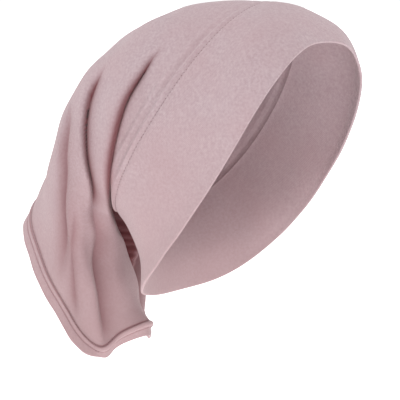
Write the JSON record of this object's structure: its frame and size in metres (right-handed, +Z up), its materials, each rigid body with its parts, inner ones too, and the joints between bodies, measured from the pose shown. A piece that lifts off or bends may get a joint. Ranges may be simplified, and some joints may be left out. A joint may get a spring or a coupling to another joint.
{
  "type": "underscarf cap",
  "caption": "Soft jersey tube cap with a doubled band round the face and a loose hemmed tail that hangs open behind the head.",
  "frame": {"origin": "middle of the head that the cap is stretched over, level with the ears", "axes": "+Z up, the wearer looks along -Y, the wearer's right side is -X; the cap is much the same on both sides of X = 0"},
  "size_m": [0.1607, 0.2477, 0.2554],
  "materials": {
    "band_jersey": "doubled fine jersey knit, matte",
    "bag_jersey": "single fine jersey knit, matte",
    "hem_jersey": "turned and stitched fine jersey knit, matte"
  },
  "bodies": {
    "root": {"front_band": "band_jersey", "crown_bag": "bag_jersey", "back_hem": "hem_jersey"}
  },
  "joints": []
}
